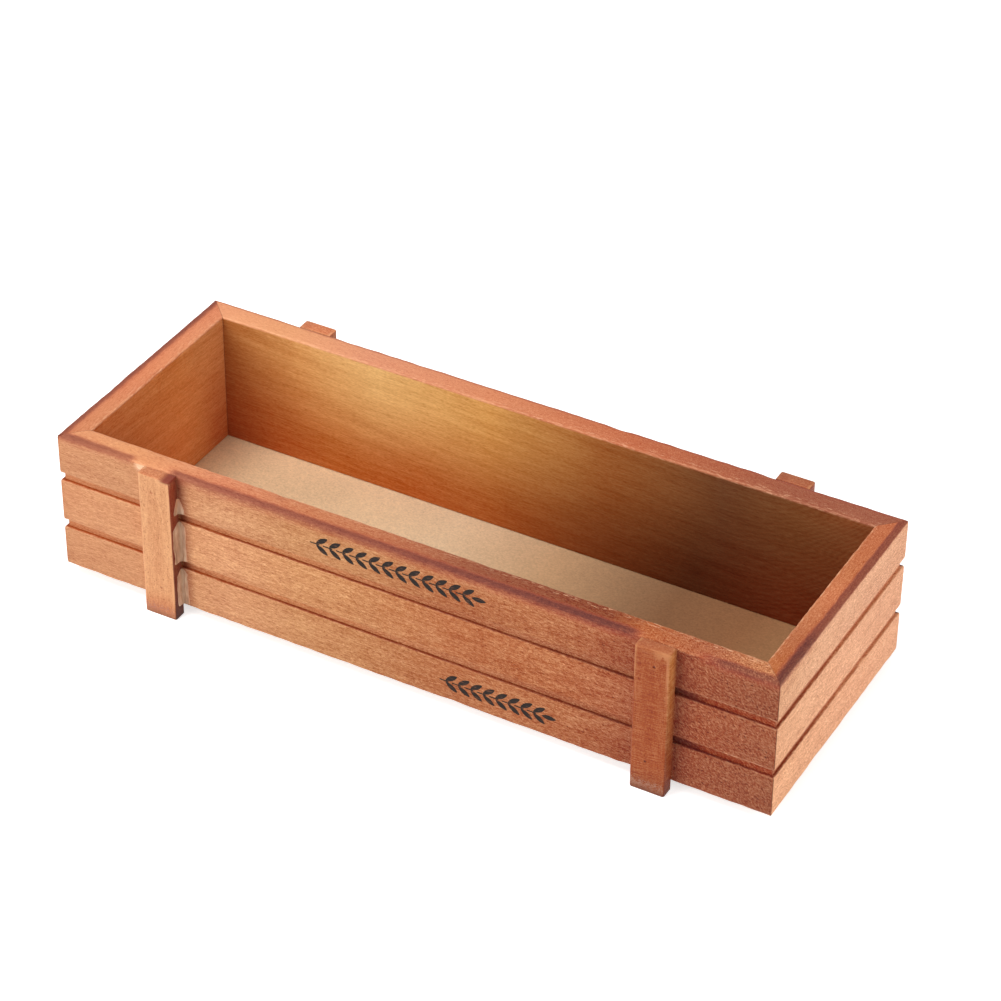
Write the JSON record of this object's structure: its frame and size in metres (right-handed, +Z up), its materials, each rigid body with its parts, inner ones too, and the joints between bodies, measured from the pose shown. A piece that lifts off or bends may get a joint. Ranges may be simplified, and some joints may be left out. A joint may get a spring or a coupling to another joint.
{
  "type": "planter box",
  "caption": "Long wooden planter box of mitred boards with saw kerfs round the outside, a thin rebated bottom panel, and battens that stand below the boards as feet.",
  "frame": {"origin": "on the ground, under the middle of the box", "axes": "+X along the length, the right end; +Y to the back, the front faces -Y; +Z up"},
  "size_m": [0.3, 0.1196, 0.0642],
  "materials": {
    "front_board": "satin orange-brown stain",
    "back_board": "satin orange-brown stain",
    "left_end_board": "satin orange-brown stain",
    "right_end_board": "satin orange-brown stain",
    "bottom_panel": "raw fibreboard",
    "battens": "satin honey stain",
    "pins": "bare steel"
  },
  "bodies": {
    "root": {"front_board": "front_board", "back_board": "back_board", "left_end_board": "left_end_board", "right_end_board": "right_end_board", "bottom_panel": "bottom_panel", "front_left_batten": "battens", "front_right_batten": "battens", "back_left_batten": "battens", "back_right_batten": "battens", "back_left_batten_pin_lower": "pins", "back_left_batten_pin_upper": "pins", "back_left_corner_pin_lower": "pins", "back_left_corner_pin_upper": "pins", "back_panel_pin_1": "pins", "back_panel_pin_2": "pins", "back_panel_pin_3": "pins", "back_right_batten_pin_lower": "pins", "back_right_batten_pin_upper": "pins", "back_right_corner_pin_lower": "pins", "back_right_corner_pin_upper": "pins", "front_left_batten_pin_lower": "pins", "front_left_batten_pin_upper": "pins", "front_left_corner_pin_lower": "pins", "front_left_corner_pin_upper": "pins", "front_panel_pin_1": "pins", "front_panel_pin_2": "pins", "front_panel_pin_3": "pins", "front_right_batten_pin_lower": "pins", "front_right_batten_pin_upper": "pins", "front_right_corner_pin_lower": "pins", "front_right_corner_pin_upper": "pins", "left_panel_pin_1": "pins", "right_panel_pin_1": "pins"}
  },
  "joints": []
}
